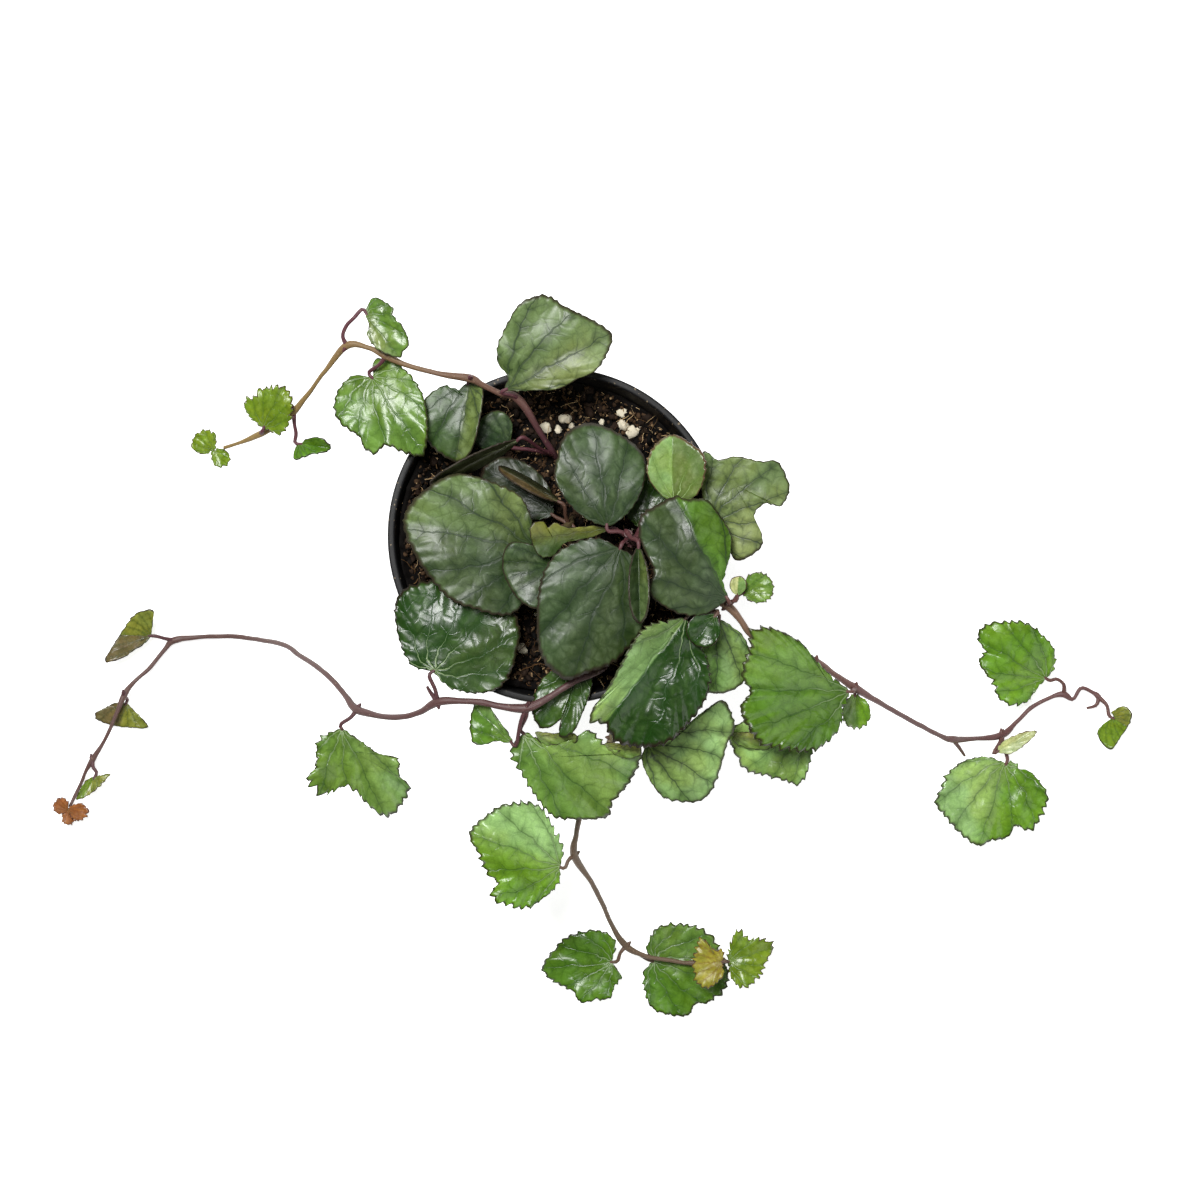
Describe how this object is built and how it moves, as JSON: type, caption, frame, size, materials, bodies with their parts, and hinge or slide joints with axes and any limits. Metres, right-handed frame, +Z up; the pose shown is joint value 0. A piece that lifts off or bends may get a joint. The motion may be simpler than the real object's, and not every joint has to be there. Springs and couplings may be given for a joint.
{
  "type": "potted cape ivy",
  "caption": "Trailing houseplant with rounded toothed leaves on long thin runners, growing in peat in a tapered round nursery pot.",
  "frame": {"origin": "centre of the pot's base, on the surface it stands on", "axes": "+Z up; +X to the right and +Y to the top of the view from above, along which the longest runners trail to the left and right"},
  "size_m": [0.3571, 0.2295, 0.1122],
  "materials": {
    "pot_plastic": "satin black, thin moulded plastic",
    "peat": "rough moist peat with pale granules",
    "stem_purple": "satin purple-brown skin",
    "stem_olive": "satin olive-brown skin",
    "leaf_old": "waxy grey-green with dark veins",
    "leaf_fresh": "glossy green with dark veins",
    "leaf_young": "glossy yellow-green",
    "leaf_pale": "glossy pale green",
    "leaf_olive": "dull olive underside",
    "leaf_bud": "downy brown-orange"
  },
  "bodies": {
    "root": {"pot": "pot_plastic", "soil": "peat", "runner_east": "stem_purple", "runner_northwest": "stem_purple", "runner_south": "stem_olive", "runner_west": "stem_purple", "stem_centre": "stem_purple", "stem_southeast": "stem_olive", "stem_west": "stem_olive", "leaf_northwest_1": "leaf_old", "leaf_northwest_2": "leaf_old", "leaf_northwest_3": "leaf_old", "leaf_northwest_4": "leaf_olive", "leaf_northwest_5": "leaf_fresh", "leaf_northwest_6": "leaf_fresh", "leaf_northwest_7": "leaf_fresh", "leaf_northwest_8": "leaf_young", "leaf_west_1": "leaf_fresh", "leaf_west_2": "leaf_fresh", "leaf_west_3": "leaf_fresh", "leaf_west_4": "leaf_fresh", "leaf_west_5": "leaf_fresh", "leaf_west_6": "leaf_fresh", "leaf_west_7": "leaf_fresh", "leaf_west_8": "leaf_young", "leaf_south_1": "leaf_old", "leaf_south_2": "leaf_fresh", "leaf_south_3": "leaf_fresh", "leaf_south_4": "leaf_fresh", "leaf_south_5": "leaf_bud", "leaf_south_6": "leaf_young", "leaf_east_1": "leaf_old", "leaf_east_2": "leaf_young", "leaf_east_3": "leaf_pale", "leaf_east_4": "leaf_fresh", "leaf_east_5": "leaf_fresh", "leaf_east_6": "leaf_young", "leaf_east_7": "leaf_fresh", "leaf_east_8": "leaf_pale", "leaf_east_9": "leaf_fresh", "leaf_east_10": "leaf_fresh", "leaf_inner_1": "leaf_old", "leaf_inner_2": "leaf_old", "leaf_inner_3": "leaf_old", "leaf_inner_4": "leaf_olive", "leaf_centre_1": "leaf_old", "leaf_centre_2": "leaf_fresh", "leaf_centre_3": "leaf_pale", "leaf_centre_4": "leaf_old", "leaf_centre_5": "leaf_old", "leaf_centre_6": "leaf_olive", "leaf_centre_7": "leaf_old", "leaf_inner_5": "leaf_fresh", "leaf_inner_6": "leaf_old", "leaf_inner_7": "leaf_fresh", "leaf_northwest_tip": "leaf_young", "leaf_west_tip": "leaf_bud"}
  },
  "joints": []
}
